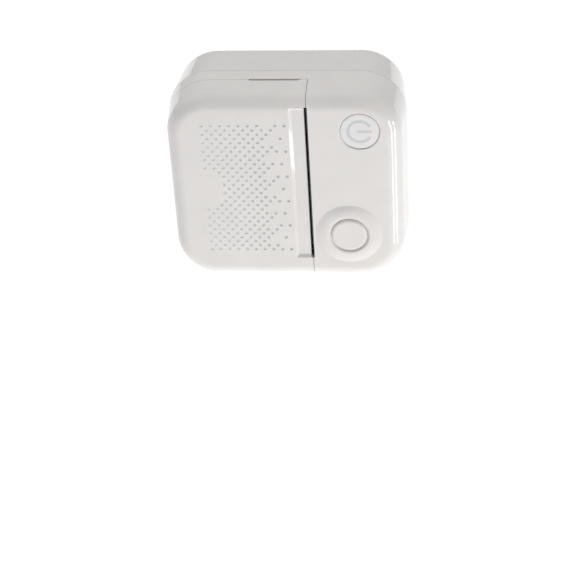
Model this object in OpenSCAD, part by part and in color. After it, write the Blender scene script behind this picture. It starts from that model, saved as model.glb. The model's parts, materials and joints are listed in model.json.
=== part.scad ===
// Pocket thermal label printer, standing on its lower edge with its face to the front.
// x runs to the right, z runs up, and depth is counted from the front plane to the back.

/* [Casing] */
// Width of the casing at its widest section
body_w = 85; // [82:0.5:88]
// Height of the casing at its widest section
body_h = 77.2; // [76:0.1:80]
// Depth from the front plane to the back plane
body_d = 42.9; // [42:0.1:46]
// Corner radius seen from the front, at the widest section
corner_r = 16.6; // [15:0.1:18]
// Thickness of the moulded walls
wall = 2; // [1.6:0.1:2.2]
// Depth of the parting line between the front and back shells
split_d = 17.9; // [17:0.1:19]
// Inset of the walls at the front plane
front_taper = 1.63; // [1:0.01:2]
// Inset of the walls at the back plane
back_taper = 2.06; // [1:0.01:2.5]
// Radius that rounds the front edge
front_fillet = 5.6; // [4.5:0.1:6]
// Radius that rounds the back edge
back_fillet = 9.6; // [8:0.1:10]

/* [Lid] */
// Depth of the lid's rear edge
lid_d = 12.2; // [11.8:0.1:12.6]
// Width of the paper slot
slot_gap = 1.4; // [1.2:0.1:1.6]
// Sideways place of the paper slot's centre
slot_x = 8.46; // [8:0.01:8.8]
// Lower end of the paper slot
slot_z0 = 10.2; // [10:0.1:11]
// Upper end of the paper slot
slot_z1 = 72.1; // [71.5:0.1:72.5]
// Width of the ramp that leads out of the slot
ramp_w = 5.5; // [4:0.1:6]
// Depth of the ramp at the slot
ramp_depth = 0.9; // [0.5:0.1:1.1]

/* [Buttons] */
// Radius of the power button's cap
power_r = 6.8; // [6:0.1:7]
// Radius of the lid release button's cap
release_r = 6.4; // [6:0.1:6.6]
// How far that cap stands in front of the front plane
release_proud = 1.25; // [1:0.05:1.5]
// Outer radius of the raised ring round the release button
ring_r = 12.1; // [11.5:0.1:12.4]
// Height of the raised ring at its crest
ring_h = 1.15; // [0.8:0.05:1.25]
// Travel of the release button
release_travel = 2; // [1.8:0.1:2]

/* [Media] */
// Width of the label liner
media_w = 57; // [56:0.5:57.5]
// Outer radius of the label roll
roll_r = 12.75; // [10:0.05:12.9]
// Outer radius of the roll's core
core_r = 6.4; // [6:0.1:7]

/* [Print mechanism] */
// Radius of the platen's rubber
platen_r = 4.5; // [4.3:0.1:4.6]
// Module of the spur gears
gear_m = 0.4; // [0.4:0.01:0.4]
// Teeth of the platen gear
platen_teeth = 26; // [26:1:26]
// Teeth of the idler's small gear
idler_small_teeth = 16; // [16:1:16]
// Teeth of the idler's large gear
idler_large_teeth = 32; // [32:1:32]
// Teeth of the motor pinion
pinion_teeth = 10; // [10:1:10]

/* [Hidden] */
$fn = 48;
eps = 0.01;

foot_proud = 0.5;
front_y = (release_proud - body_d - foot_proud) / 2;
mid_z = body_h / 2;
seam = 0.35;
hair = 0.15;
lid_edge = slot_x - slot_gap / 2;
fascia_edge = slot_x + slot_gap / 2;
reach = 60;

power_x = 26.85;
power_z = 62.7;
release_x = 21.95;
release_z = 20.6;

hinge_x = -41.2;
hinge_d = 13.9;
hinge_r = 1.3;
hinge_pin_r = 0.6;
hinge_z0 = 19;
hinge_z1 = 58;
knuckles = 5;
knuckle_len = (hinge_z1 - hinge_z0) / knuckles;

media_z = (slot_z0 + slot_z1) / 2;
media_z0 = media_z - media_w / 2;
media_z1 = media_z + media_w / 2;
roll_x = -17;
roll_d = 18;
core_bore_r = core_r - 0.9;
hub_fit = 0.06;
bay_r = 13.6;
bay_wall = 1;

platen_x = 3.6;
platen_d = 9;
shaft_r = 1.6;
run_fit = 0.05;
bush_r = 2.8;
latch_bush_r = 3;
web_t = 0.15;
web_x = platen_x + platen_r + 0.1;

gear_gap = 0.06;
idler_x = platen_x + 0.3;
idler_d = platen_d + sqrt(pow(gear_m * (platen_teeth + idler_small_teeth) / 2 + gear_gap, 2) - 0.09);
motor_x = idler_x + 1.6;
motor_c = gear_m * (idler_large_teeth + pinion_teeth) / 2 + gear_gap;
motor_d = idler_d + sqrt(pow(motor_c, 2) - pow(1.6, 2));
motor_r = 7.2;
outer_layer = [3.0, 4.5];
inner_layer = [4.75, 6.7];
plate_z0 = 7.3;
plate_z1 = 8.8;

head_z0 = media_z0 - 0.3;
head_z1 = media_z1 + 0.3;
head_x = web_x + web_t + 0.12;
pivot_x = 10.7;
pivot_d = 14.6;

frame_wall_x = 13.2;
frame_wall_t = 1.4;
mid_plate_d = 13.6;
mid_plate_t = 1.2;
board_d = 10.5;
board_t = 1.2;

latch_z0 = 9.5;
latch_z1 = 11.5;
hook_tip_x = 4.9;
column_r = 2.1;
screw_r = 0.8;
frame_posts = [[35.5, 33.2], [19.4, 33.2], [20, 72.3], [35.8, 12.6]];
back_posts = [[26, 15.6], [26, 61.6], [-26, 15.6], [-26, 61.6]];

// ---- helpers -------------------------------------------------------------

function y_of(d) = front_y + d;

// depth at which a back post of the frame or of the paper bay ends
function post_end(p) = p[0] < 0 ? 32.1 : 30.4;

module block(x, d, z)
  translate([x[0], y_of(d[0]), z[0]]) cube([x[1] - x[0], d[1] - d[0], z[1] - z[0]]);

module rod_z(x, d, z, r)
  translate([x, y_of(d), z[0]]) cylinder(h = z[1] - z[0], r = r);

module rod_y(x, z, d, r)
  translate([x, y_of(d[0]), z]) rotate([-90, 0, 0]) cylinder(h = d[1] - d[0], r = r);

module rod_x(x, d, z, r)
  translate([x[0], y_of(d), z]) rotate([0, 90, 0]) cylinder(h = x[1] - x[0], r = r);

// an outline drawn in x and depth, extruded up from z[0] to z[1]
module plan(z, points)
  translate([0, front_y, z[0]]) linear_extrude(z[1] - z[0]) polygon(points);

function arc(c, r, a0, a1, n) = [for (i = [0 : n]) let (a = a0 + (a1 - a0) * i / n)
  [c[0] + r * cos(a), c[1] + r * sin(a)]];

// ---- casing form ---------------------------------------------------------

front_lean = atan(front_taper / split_d);
back_lean = atan(back_taper / (body_d - split_d));

// distance of the wall from a corner's axis at a depth, moved inwards by t
function wall_r(d, t) = corner_r - t - (d < split_d
  ? front_taper * (1 - d / split_d)
  : back_taper * (d - split_d) / (body_d - split_d));

function wall_outline(t) =
  let (f = front_fillet - t, b = back_fillet - t,
       fd = t + f, bd = body_d - t - b,
       front_c = [wall_r(fd, t) - f / cos(front_lean), fd],
       back_c = [wall_r(bd, t) - b / cos(back_lean), bd])
  concat([[0, t]], arc(front_c, f, -90, -front_lean, 6),
    [[corner_r - t, split_d]],
    arc(back_c, b, back_lean, 90, 8), [[0, body_d - t]]);

function flipped(points) = [for (p = points) [p[0], -p[1]]];

// the casing's solid form, moved inwards by t: four turned corners, four sides and a core
module casing(t) {
  cx = body_w / 2 - corner_r;
  cz = body_h / 2 - corner_r;
  translate([0, front_y, mid_z]) rotate([90, 0, 0]) {
    for (q = [[1, 1, 0], [-1, 1, 90], [-1, -1, 180], [1, -1, 270]])
      translate([q[0] * cx, q[1] * cz, 0]) rotate([0, 0, q[2]])
        rotate_extrude(angle = 90) polygon(flipped(wall_outline(t)));
    for (s = [[0, cx, cz], [90, cz, cx], [180, cx, cz], [270, cz, cx]])
      rotate([0, 0, s[0]]) translate([s[1], 0, 0]) rotate([90, 0, 0])
        linear_extrude(2 * s[2], center = true) polygon(flipped(wall_outline(t)));
    translate([-cx, -cz, t - body_d]) cube([2 * cx, 2 * cz, body_d - 2 * t]);
  }
}

module hollow() difference() {
  casing(0);
  casing(wall);
}

module depth_band(d0, d1)
  block([-reach, reach], [d0, d1], [-reach, body_h + reach]);

// ---- hinge ---------------------------------------------------------------

function knuckle_z(i) = [hinge_z0 + i * knuckle_len + hair, hinge_z0 + (i + 1) * knuckle_len - hair];

module barrel(i, bore, toward) difference() {
  union() {
    rod_z(hinge_x, hinge_d, knuckle_z(i), hinge_r);
    block([hinge_x - 0.6, hinge_x + 0.9],
      toward < 0 ? [lid_d - 0.6, hinge_d] : [hinge_d, hinge_d + 2.2], knuckle_z(i));
  }
  rod_z(hinge_x, hinge_d, [hinge_z0 - 1, hinge_z1 + 1], bore);
}

module hinge_groove() {
  rod_z(hinge_x, hinge_d, [hinge_z0, hinge_z1], hinge_r + 0.25);
  block([-reach, hinge_x + hinge_r + 0.25], [lid_d - 1, hinge_d], [hinge_z0, hinge_z1]);
}

module hinge_pin() color("silver")
  rod_z(hinge_x, hinge_d, [hinge_z0 + 0.3, hinge_z1 - 0.3], hinge_pin_r);

// ---- shells --------------------------------------------------------------

crest_r = 8;
collar_r = 6.85;

// depth of the raised ring's outer slope, which steepens from the crest to the foot
function slope_d(r) = -ring_h * (1 - pow((r - crest_r) / (ring_r - crest_r), 1.5));

// raised ring round the release button, and the collar behind it that guides the button
module collar()
  translate([release_x, y_of(0), release_z]) rotate([-90, 0, 0])
    rotate_extrude() polygon(concat(
      [[8.6, 4.5], [collar_r, 4.5], [collar_r, 0.45 - ring_h]],
      arc([collar_r + 0.45, 0.45 - ring_h], 0.45, 180, 270, 4),
      [for (i = [0 : 6]) let (r = crest_r + (ring_r - crest_r) * i / 6) [r, slope_d(r)]],
      [[ring_r, 0.2], [8.6, 0.2]]));

module front_shell() color("whitesmoke") {
  difference() {
    union() {
      difference() {
        intersection() {
          hollow();
          depth_band(-1, split_d - hair / 2);
        }
        block([-reach, slot_x + seam / 2], [-1, lid_d + hair], [-1, body_h + 1]);
        block([0, fascia_edge], [-1, lid_d + hair], [slot_z0, slot_z1]);
        rod_y(power_x, power_z, [-1, 3], power_r + 0.3);
        rod_y(release_x, release_z, [-1, 3], collar_r + 0.6);
        hinge_groove();
        // the lid's edge turns past this stretch of the rim
        block([-reach, hinge_x + 3], [lid_d, lid_d + 0.45], [13, body_h - 13]);
      }
      collar();
      for (p = frame_posts) rod_y(p[0], p[1], [wall - 0.2, mid_plate_d], column_r);
    }
    for (p = frame_posts) rod_y(p[0], p[1], [6, mid_plate_d + 1], screw_r);
  }
  for (i = [0 : 2 : knuckles - 1]) barrel(i, hinge_pin_r, 1);
}

module usb_cut()
  translate([27, y_of(28), 0]) linear_extrude(9) square([9.4, 3.6], center = true);

module back_shell() color("whitesmoke") difference() {
  union() {
    intersection() {
      hollow();
      depth_band(split_d + hair / 2, body_d + 1);
    }
    for (p = back_posts) rod_y(p[0], p[1], [post_end(p) + hair, body_d - wall + 0.2], 3.2);
  }
  for (p = back_posts) {
    rod_y(p[0], p[1], [30, body_d + 1], 1.15);
    rod_y(p[0], p[1], [post_end(p) + 2.6, body_d + 1], 2.2);
    rod_y(p[0], p[1], [body_d - 0.8, body_d + 1], 4.05);
  }
  usb_cut();
}

module lid_cover() color("whitesmoke") {
  difference() {
    intersection() {
      hollow();
      depth_band(-1, lid_d);
    }
    block([slot_x - seam / 2, reach], [-1, lid_d + 1], [-1, body_h + 1]);
    block([lid_edge, reach], [-1, lid_d + 1], [slot_z0, slot_z1]);
    plan([slot_z0, slot_z1], [[lid_edge - ramp_w, -1], [lid_edge + 1, -1],
      [lid_edge + 1, ramp_depth * (1 + 1 / ramp_w)], [lid_edge - ramp_w, 0.12]]);
    block([-12.2, 6], [9.4, lid_d + 1], [body_h - 1.05, body_h + 1]);
  }
  for (i = [1 : 2 : knuckles - 1]) barrel(i, hinge_pin_r + run_fit, -1);
}

module rubber_feet() color("dimgray")
  for (p = back_posts) rod_y(p[0], p[1], [body_d - 0.8, body_d + foot_proud], 4);

// ---- lid assembly --------------------------------------------------------

arm_z = [[7.0, 9.0], [71.0, 72.8]];

module lid_frame() color("lightgray") difference() {
  union() {
    block([-26, lid_edge - 1.2], [wall + 0.02, wall + 1.2], [14, 68]);
    for (z = arm_z) {
      block([platen_x - 4, platen_x + 3.6], [wall + 1.9, platen_d], z);
      rod_z(platen_x, platen_d, z, 3.6);
    }
    block([platen_x - 4, platen_x + 2.4], [wall + 0.02, wall + 1.2], [9, 71]);
    block([platen_x - 4, platen_x + 2.4], [wall + 0.02, wall + 2], [8.5, 9]);
    block([platen_x - 4, platen_x + 2.4], [wall + 0.3, wall + 2], [71, 71.5]);
    for (z = [18 : 10 : 68]) block([-24, -4], [wall + 1.1, wall + 1.9], [z - 0.5, z + 0.5]);
  }
  for (z = arm_z) rod_z(platen_x, platen_d, [z[0] - 1, z[1] + 1], bush_r);
}

tear_pitch = 1;

// serrated strip along the slot's inner edge, under the end of the ramp
module tear_bar() color("silver") {
  z0 = slot_z0 + 0.6;
  teeth = floor((slot_z1 - slot_z0 - 1.2) / tear_pitch);
  translate([0, y_of(wall + 0.02), 0]) rotate([-90, 0, 0]) mirror([0, 1, 0]) linear_extrude(0.4)
    polygon(concat([[lid_edge - 1, z0]],
      [for (i = [0 : teeth - 1]) each [[lid_edge - 0.35, z0 + i * tear_pitch],
        [lid_edge + 0.15, z0 + (i + 0.5) * tear_pitch]]],
      [[lid_edge - 0.35, z0 + teeth * tear_pitch], [lid_edge - 1, z0 + teeth * tear_pitch]]));
}

module platen_rubber() color("#222222") difference() {
  rod_z(platen_x, platen_d, [media_z0 - 0.3, media_z1 + 0.3], platen_r);
  rod_z(platen_x, platen_d, [0, body_h], shaft_r + 0.4);
}

module platen_shaft() color("silver") {
  rod_z(platen_x, platen_d, [inner_layer[0] + 0.1, 72.7], shaft_r);
  rod_z(platen_x, platen_d, [media_z0 - 0.3, media_z1 + 0.3], shaft_r + 0.4);
}

module platen_bushes() color("ivory") difference() {
  union() {
    rod_z(platen_x, platen_d, arm_z[0], bush_r);
    rod_z(platen_x, platen_d, [arm_z[0][1], 11.7], latch_bush_r);
    rod_z(platen_x, platen_d, arm_z[1], bush_r);
    rod_z(platen_x, platen_d, [70.4, arm_z[1][0]], 3.4);
  }
  rod_z(platen_x, platen_d, [0, body_h], shaft_r + run_fit);
}

// ---- gears ---------------------------------------------------------------

// one flank of an involute tooth, as polar points [radius, angle from the tooth's middle]
function involute(rb, r) = sqrt(pow(r / rb, 2) - 1) * 180 / PI - acos(rb / r);

module spur(teeth, z, bore, turn = 0, thin = 0.05) {
  pr = gear_m * teeth / 2;
  rb = pr * cos(20);
  ro = pr + 0.9 * gear_m;
  rf = pr - 1.15 * gear_m;
  half = 90 / teeth - thin / pr * 90 / PI + involute(rb, pr);
  r0 = max(rb, rf);
  flank = [for (k = [0 : 4]) r0 + (ro - r0) * k / 4];
  function polar(r, a) = [r * cos(a), r * sin(a)];
  difference() {
    translate([0, 0, z[0]]) rotate([0, 0, turn]) linear_extrude(z[1] - z[0])
      polygon([for (i = [0 : teeth - 1]) let (c = 360 * i / teeth) each concat(
        [polar(rf, c - half - 0.2)],
        [for (r = flank) polar(r, c - half + involute(rb, r))],
        [for (k = [4 : -1 : 0]) polar(flank[k], c + half - involute(rb, flank[k]))],
        [polar(rf, c + half + 0.2)])]);
    translate([0, 0, z[0] - 1]) cylinder(h = z[1] - z[0] + 2, r = bore);
  }
}

// angle of the line from the idler to the platen, and from the idler to the motor
idler_to_platen = atan2(platen_d - idler_d, platen_x - idler_x);
idler_to_motor = atan2(motor_d - idler_d, motor_x - idler_x);

module platen_gear() color("ivory") translate([platen_x, y_of(platen_d), 0])
  spur(platen_teeth, inner_layer, shaft_r, idler_to_platen + 180 + 180 / platen_teeth);

module idler_gear() color("ivory") translate([idler_x, y_of(idler_d), 0]) {
  spur(idler_small_teeth, [outer_layer[1], inner_layer[1]], 0.85, idler_to_platen);
  spur(idler_large_teeth, outer_layer, 0.85, idler_to_motor);
}

module idler_axle() color("silver")
  rod_z(idler_x, idler_d, [outer_layer[0] - 0.2, plate_z1], 0.8);

module motor_pinion() color("goldenrod") {
  translate([motor_x, y_of(motor_d), 0])
    spur(pinion_teeth, outer_layer, 0.75, idler_to_motor + 180 + 180 / pinion_teeth);
  rod_z(motor_x, motor_d, [outer_layer[0], 12], 0.75);
}

module motor() color("gainsboro") difference() {
  union() {
    rod_z(motor_x, motor_d, [plate_z1, 22], motor_r);
    rod_z(motor_x, motor_d, [plate_z0 + 0.2, plate_z1], 2.4);
    block([motor_x - 3, motor_x + 3], [motor_d + motor_r - 1, motor_d + motor_r + 1.6], [12, 17]);
  }
  rod_z(motor_x, motor_d, [0, 14], 0.8);
}

// ---- print head ----------------------------------------------------------

module print_head() color("tan") {
  block([head_x, head_x + 0.9], [4.3, 13.2], [head_z0, head_z1]);
}

module head_heatsink() color("silver") difference() {
  union() {
    block([head_x + 0.9, head_x + 3.1], [3.4, pivot_d], [head_z0, head_z1]);
    rod_z(pivot_x, pivot_d, [head_z0, head_z1], 1.7);
  }
  rod_z(pivot_x, pivot_d, [0, body_h], 0.85);
}

module head_pivot_pin() color("silver")
  rod_z(pivot_x, pivot_d, [plate_z1, 72], 0.8);

head_spring_z = [32, 52];

// a helical spring of round wire that stands on its lower end, swept ring by ring
module coil(length, r, wire, turns) {
  sides = 8;
  steps = 14 * turns;
  points = [for (i = [0 : steps], j = [0 : sides - 1])
    let (a = 360 * turns * i / steps, b = 360 * j / sides, q = r + wire * cos(b))
    [q * cos(a), q * sin(a), wire + (length - 2 * wire) * i / steps + wire * sin(b)]];
  skin = [for (i = [0 : steps - 1], j = [0 : sides - 1]) let (k = (j + 1) % sides)
    [i * sides + j, i * sides + k, (i + 1) * sides + k, (i + 1) * sides + j]];
  polyhedron(points, concat(skin, [[for (j = [sides - 1 : -1 : 0]) j]],
    [[for (j = [0 : sides - 1]) steps * sides + j]]), convexity = 10);
}

module head_springs() color("silver")
  for (z = head_spring_z)
    translate([head_x + 3.15, y_of(7), z]) rotate([0, 90, 0])
      coil(frame_wall_x + 3 - head_x - 3.2, 1.6, 0.2, 5);

module head_flex() color("chocolate")
  plan([46, 62], [[8.55, 13.4], [8.55, 17.6], [12.4, 18.9], [16, 17.8], [16, 12], [20, 12],
    [20, 11.8], [15.8, 11.8], [15.8, 17.6], [12.4, 18.7], [8.75, 17.4], [8.75, 13.4]]);

// ---- frame ---------------------------------------------------------------

module mechanism_frame() color("darkgray") difference() {
  union() {
    // end plates that carry the gears and the head's pivot
    block([-1, frame_wall_x + frame_wall_t], [13.4, 33.4], [plate_z0, plate_z1]);
    block([8, frame_wall_x + frame_wall_t], [12.4, 20], [70.6, 72]);
    // wall behind the print head
    block([frame_wall_x, frame_wall_x + frame_wall_t], [3.6, 30], [12.4, 72]);
    block([frame_wall_x, frame_wall_x + frame_wall_t], [13.4, 30], [plate_z0, 13]);
    // plate that carries the board in front and the battery behind
    block([frame_wall_x, 38.6], [mid_plate_d, mid_plate_d + mid_plate_t], [13, 67]);
    block([frame_wall_x, 33.5], [mid_plate_d, mid_plate_d + mid_plate_t], [8, 72]);
    for (p = frame_posts) rod_y(p[0], p[1], [mid_plate_d, mid_plate_d + mid_plate_t], 2.4);
    for (z = head_spring_z) rod_x([frame_wall_x, frame_wall_x + 3.5], 7, z, 2.6);
    // posts for the back screws
    for (p = back_posts) if (p[0] > 0) rod_y(p[0], p[1], [mid_plate_d, post_end(p)], 3);
    // stand-offs of the board
    for (p = [[19, 40], [34, 40], [19, 66]])
      rod_y(p[0], p[1], [board_d + board_t, mid_plate_d], 1.5);
    // bracket of the paper sensor
    block([7.7, frame_wall_x], [16.6, 17.6], [37, 41.5]);
    // stop of the latch spring
    block([32.4, 33.4], [8.4, mid_plate_d], [9, 12.4]);
    block([28, 33.4], [12.4, mid_plate_d], [9, 13.5]);
  }
  for (z = head_spring_z) rod_x([frame_wall_x - 1, frame_wall_x + 3.05], 7, z, 2.1);
  rod_z(idler_x, idler_d, [0, 20], 0.8);
  rod_z(motor_x, motor_d, [0, 20], 2.4);
  rod_z(pivot_x, pivot_d, [plate_z1, 80], 0.8);
  // room for the release button's collar and flange
  block([frame_wall_x - 1, frame_wall_x + frame_wall_t + 1], [3, 8.2], [11, 29.3]);
  // way of the head's ribbon to the board
  block([frame_wall_x - 1, frame_wall_x + 2], [16.8, 20.4], [45, 63]);
  block([frame_wall_x + 1.6, 17], [12, 16], [45, 63]);
  for (p = frame_posts) rod_y(p[0], p[1], [10, 20], screw_r + 0.2);
  for (p = back_posts) rod_y(p[0], p[1], [20, 33], screw_r);
}

// ---- media ---------------------------------------------------------------

module paper_bay() color("lightgray") difference() {
  union() {
    difference() {
      rod_z(roll_x, roll_d, [10.9, 71.4], bay_r + bay_wall);
      rod_z(roll_x, roll_d, [12.35, 69.95], bay_r);
    }
    for (p = back_posts) if (p[0] < 0) rod_y(p[0], p[1], [26, post_end(p)], 3);
  }
  difference() {
    block([-reach, reach], [-1, 27], [0, body_h]);
    plan([0, body_h], arc([roll_x, roll_d], 11.6, 20, 200, 24));
    block([roll_x - bay_r - 3, roll_x], [roll_d, 28], [0, body_h]);
    rod_z(roll_x, roll_d, [0, body_h], 9);
  }
  difference() {
    rod_z(roll_x, roll_d, [12.35, 69.95], bay_r);
    for (z = [[12.35, 15], [67.3, 69.95]])
      rod_z(roll_x, roll_d, z, core_bore_r - hub_fit);
  }
  for (p = back_posts) rod_y(p[0], p[1], [20, 33], screw_r);
}

module label_core() color("burlywood") difference() {
  rod_z(roll_x, roll_d, [media_z0, media_z1], core_r);
  rod_z(roll_x, roll_d, [0, body_h], core_bore_r);
}

module label_roll() color("paleturquoise") difference() {
  rod_z(roll_x, roll_d, [media_z0, media_z1], roll_r);
  rod_z(roll_x, roll_d, [0, body_h], core_r);
}

module label_patches() color("yellowgreen")
  for (a = [0 : 60 : 300])
    translate([roll_x, y_of(roll_d), media_z0 + 2]) rotate([0, 0, a])
      rotate_extrude(angle = 52) translate([roll_r, 0]) square([0.1, media_w - 4]);

// the free end of the liner, from the roll's tangent point round the platen to the slot
web_turn = [web_x + web_t / 2, 13.4];
web_gap = 0.3;
web_end_d = 3.6;
web_to = [web_turn[0] - roll_x, web_turn[1] - roll_d];
web_len = norm(web_to);
web_angle = atan2(web_to[1], web_to[0]) + acos((roll_r + web_gap) / web_len);
web_from = [roll_x + (roll_r + web_gap) * cos(web_angle), roll_d + (roll_r + web_gap) * sin(web_angle)];

module label_web() color("aliceblue") {
  across = [cos(web_angle), sin(web_angle)] * web_t;
  plan([media_z0, media_z1], [web_from, [web_x, web_turn[1] - 0.4], [web_x, web_end_d],
    [web_x + web_t, web_end_d], [web_x + web_t, web_turn[1] - 0.3], web_from + across]);
}

module gap_sensor() color("#303030")
  block([5.4, 7.7], [16, 18.2], [37, 41.5]);

// ---- electronics ---------------------------------------------------------

module circuit_board() color("darkgreen") difference() {
  translate([0, y_of(board_d), 0]) rotate([-90, 0, 0]) mirror([0, 1, 0]) linear_extrude(board_t)
    polygon([[16.5, 36], [38, 36], [38, 61], [30, 69.8], [16.5, 69.8]]);
}

module power_switch() color("silver") difference() {
  block([power_x - 3, power_x + 3], [7, board_d], [power_z - 3, power_z + 3]);
  rod_y(power_x, power_z, [6, 8.4], 1.75);
}

module switch_plunger() color("#303030")
  rod_y(power_x, power_z, [5.6, 7.6], 1.6);

module status_led() color("white")
  block([33, 34.6], [9.7, board_d], [power_z - 9, power_z - 8.2]);

module lid_switch() color("#303030")
  block([17, 19.4], [8.2, board_d], [64.5, 68.5]);

module usb_socket() color("silver") difference() {
  translate([27, y_of(28), 1.4]) linear_extrude(7.4) square([8.9, 3.2], center = true);
  translate([27, y_of(28), 0]) linear_extrude(7) square([8.3, 2.6], center = true);
}

module usb_board() color("darkgreen")
  block([21.5, 31], [29.7, 30.5], [4.6, 9.8]);

module battery() color("steelblue")
  block([16.5, 37.5], [17, 25.5], [20, 57]);

module battery_pad() color("#444444")
  block([21.8, 33.4], [mid_plate_d + mid_plate_t, 17], [24, 53]);

// ---- power button --------------------------------------------------------

module icon(d) translate([power_x, y_of(d[0]), power_z]) rotate([-90, 0, 0]) {
  rotate([0, 0, 30]) rotate_extrude(angle = 300) translate([3.6, 0]) square([0.9, d[1] - d[0]]);
  translate([-1, -0.45, 0]) cube([4.6, 0.9, d[1] - d[0]]);
}

module power_button() color("#eef2f6") difference() {
  union() {
    rod_y(power_x, power_z, [0.35, 2.2], power_r);
    rod_y(power_x, power_z, [2.1, 3], power_r + 1.1);
    rod_y(power_x, power_z, [3, 5.6], 1.8);
  }
  icon([0, 0.65]);
}

module power_icon() color("silver") icon([0.37, 0.65]);

// ---- lid release ---------------------------------------------------------

wedge = [[19.6, 8], [24.4, 8], [21.4, 11], [19.6, 11]];

module release_button() color("whitesmoke") {
  edge = 0.9;
  translate([release_x, y_of(0), release_z]) rotate([-90, 0, 0])
    rotate_extrude() polygon(concat([[0, -release_proud]],
      arc([release_r - edge, edge - release_proud], edge, 270, 360, 6),
      [[release_r, 4.6], [8.4, 4.6], [8.4, 5.4], [0, 5.4]]));
  rod_y(release_x, release_z, [5.3, 8], 2.4);
  plan([release_z - 2, release_z + 2], wedge);
}

module latch_slide() color("ivory") difference() {
  union() {
    block([10.4, 27], [6.4, 10.6], [latch_z0, latch_z1]);
    block([15.8, 27], [8.6, 10.6], [latch_z0, 25.6]);
  }
  plan([release_z - 2.7, release_z + 2.7], [[17.2, 8], [24.7, 8], [24.7, 8.2], [21.3, 11.6], [17.2, 11.6]]);
}

module latch_hook() color("silver")
  plan([latch_z0, latch_z1], [[hook_tip_x, 6.2], [hook_tip_x + 0.5, 4.9], [12, 4.9], [12, 6.4],
    [10.4, 6.4], [10.4, 6.2]]);

module latch_spring() color("silver")
  translate([27.05, y_of(9.6), (latch_z0 + latch_z1) / 2]) rotate([0, 90, 0])
    coil(5.3, 0.8, 0.15, 8);

// ---- screws --------------------------------------------------------------

module frame_screws() color("silver")
  for (p = frame_posts) {
    rod_y(p[0], p[1], [7, mid_plate_d + mid_plate_t], screw_r);
    rod_y(p[0], p[1], [mid_plate_d + mid_plate_t, mid_plate_d + mid_plate_t + 1], 1.6);
  }

module back_screws() color("silver")
  for (p = back_posts) {
    seat = post_end(p) + 2.6;
    rod_y(p[0], p[1], [post_end(p) - 3.6, seat], screw_r);
    difference() {
      rod_y(p[0], p[1], [seat, seat + 1.4], 1.9);
      rod_y(p[0], p[1], [seat + 0.6, seat + 2], 0.7);
    }
  }

front_shell();
back_shell();
lid_cover();
lid_frame();
tear_bar();
hinge_pin();
platen_rubber();
platen_shaft();
platen_bushes();
platen_gear();
print_head();
head_heatsink();
head_pivot_pin();
head_springs();
head_flex();
mechanism_frame();
motor();
motor_pinion();
idler_gear();
idler_axle();
paper_bay();
label_core();
label_roll();
label_patches();
label_web();
gap_sensor();
circuit_board();
power_switch();
status_led();
usb_socket();
usb_board();
lid_switch();
battery();
battery_pad();
power_button();
power_icon();
switch_plunger();
release_button();
latch_slide();
latch_hook();
latch_spring();
frame_screws();
back_screws();
rubber_feet();
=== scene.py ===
"""Looks of the pocket thermal label printer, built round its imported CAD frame.

Blender units are metres. Sizes below are millimetres, in the part's own axes: x to the right,
z up, and depth counted from the face to the back.
"""
import json
import math

import bmesh
import bpy
from mathutils import Matrix, Vector

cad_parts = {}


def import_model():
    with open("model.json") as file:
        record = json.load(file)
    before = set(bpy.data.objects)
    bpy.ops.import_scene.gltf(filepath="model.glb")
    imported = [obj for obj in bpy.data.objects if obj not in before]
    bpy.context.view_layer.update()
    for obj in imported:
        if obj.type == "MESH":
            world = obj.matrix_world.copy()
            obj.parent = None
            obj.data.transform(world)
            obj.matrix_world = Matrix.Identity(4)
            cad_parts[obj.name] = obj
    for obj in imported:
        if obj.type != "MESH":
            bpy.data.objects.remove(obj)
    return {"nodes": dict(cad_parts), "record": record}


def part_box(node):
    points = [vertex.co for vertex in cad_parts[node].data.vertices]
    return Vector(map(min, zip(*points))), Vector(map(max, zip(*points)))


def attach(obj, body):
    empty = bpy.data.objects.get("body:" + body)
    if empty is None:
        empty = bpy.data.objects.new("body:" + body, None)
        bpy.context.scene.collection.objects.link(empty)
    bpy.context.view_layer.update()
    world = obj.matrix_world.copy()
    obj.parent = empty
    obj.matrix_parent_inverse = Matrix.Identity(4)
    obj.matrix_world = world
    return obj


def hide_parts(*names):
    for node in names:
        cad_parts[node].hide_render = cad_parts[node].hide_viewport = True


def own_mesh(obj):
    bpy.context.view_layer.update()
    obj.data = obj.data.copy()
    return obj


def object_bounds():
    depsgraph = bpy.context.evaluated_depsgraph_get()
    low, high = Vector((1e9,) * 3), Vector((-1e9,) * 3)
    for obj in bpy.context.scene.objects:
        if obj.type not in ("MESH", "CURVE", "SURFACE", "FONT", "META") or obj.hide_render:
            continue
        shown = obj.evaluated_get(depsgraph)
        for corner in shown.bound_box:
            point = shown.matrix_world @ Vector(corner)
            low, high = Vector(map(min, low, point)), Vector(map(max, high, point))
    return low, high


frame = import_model()
cad_lo, cad_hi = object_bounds()

MM = 0.001
FACE_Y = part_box("lid_cover")[0].y

# ---- sizes in mm: the CAD's driving dimensions, with a finer seam and slot edge -----------------

WIDTH = (cad_hi.x - cad_lo.x) / MM
HEIGHT = (cad_hi.z - cad_lo.z) / MM
DEPTH = (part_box("back_shell")[1].y - FACE_Y) / MM
CORNER_R = 16.6
WALL = 2.0
SPLIT_D = 17.9
FRONT_TAPER = 1.63
BACK_TAPER = 2.06
FRONT_FILLET = 5.6
BACK_FILLET = 9.6
MID_Z = HEIGHT / 2
CORNER_X = WIDTH / 2 - CORNER_R
CORNER_Z = HEIGHT / 2 - CORNER_R
FAR = 70

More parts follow.
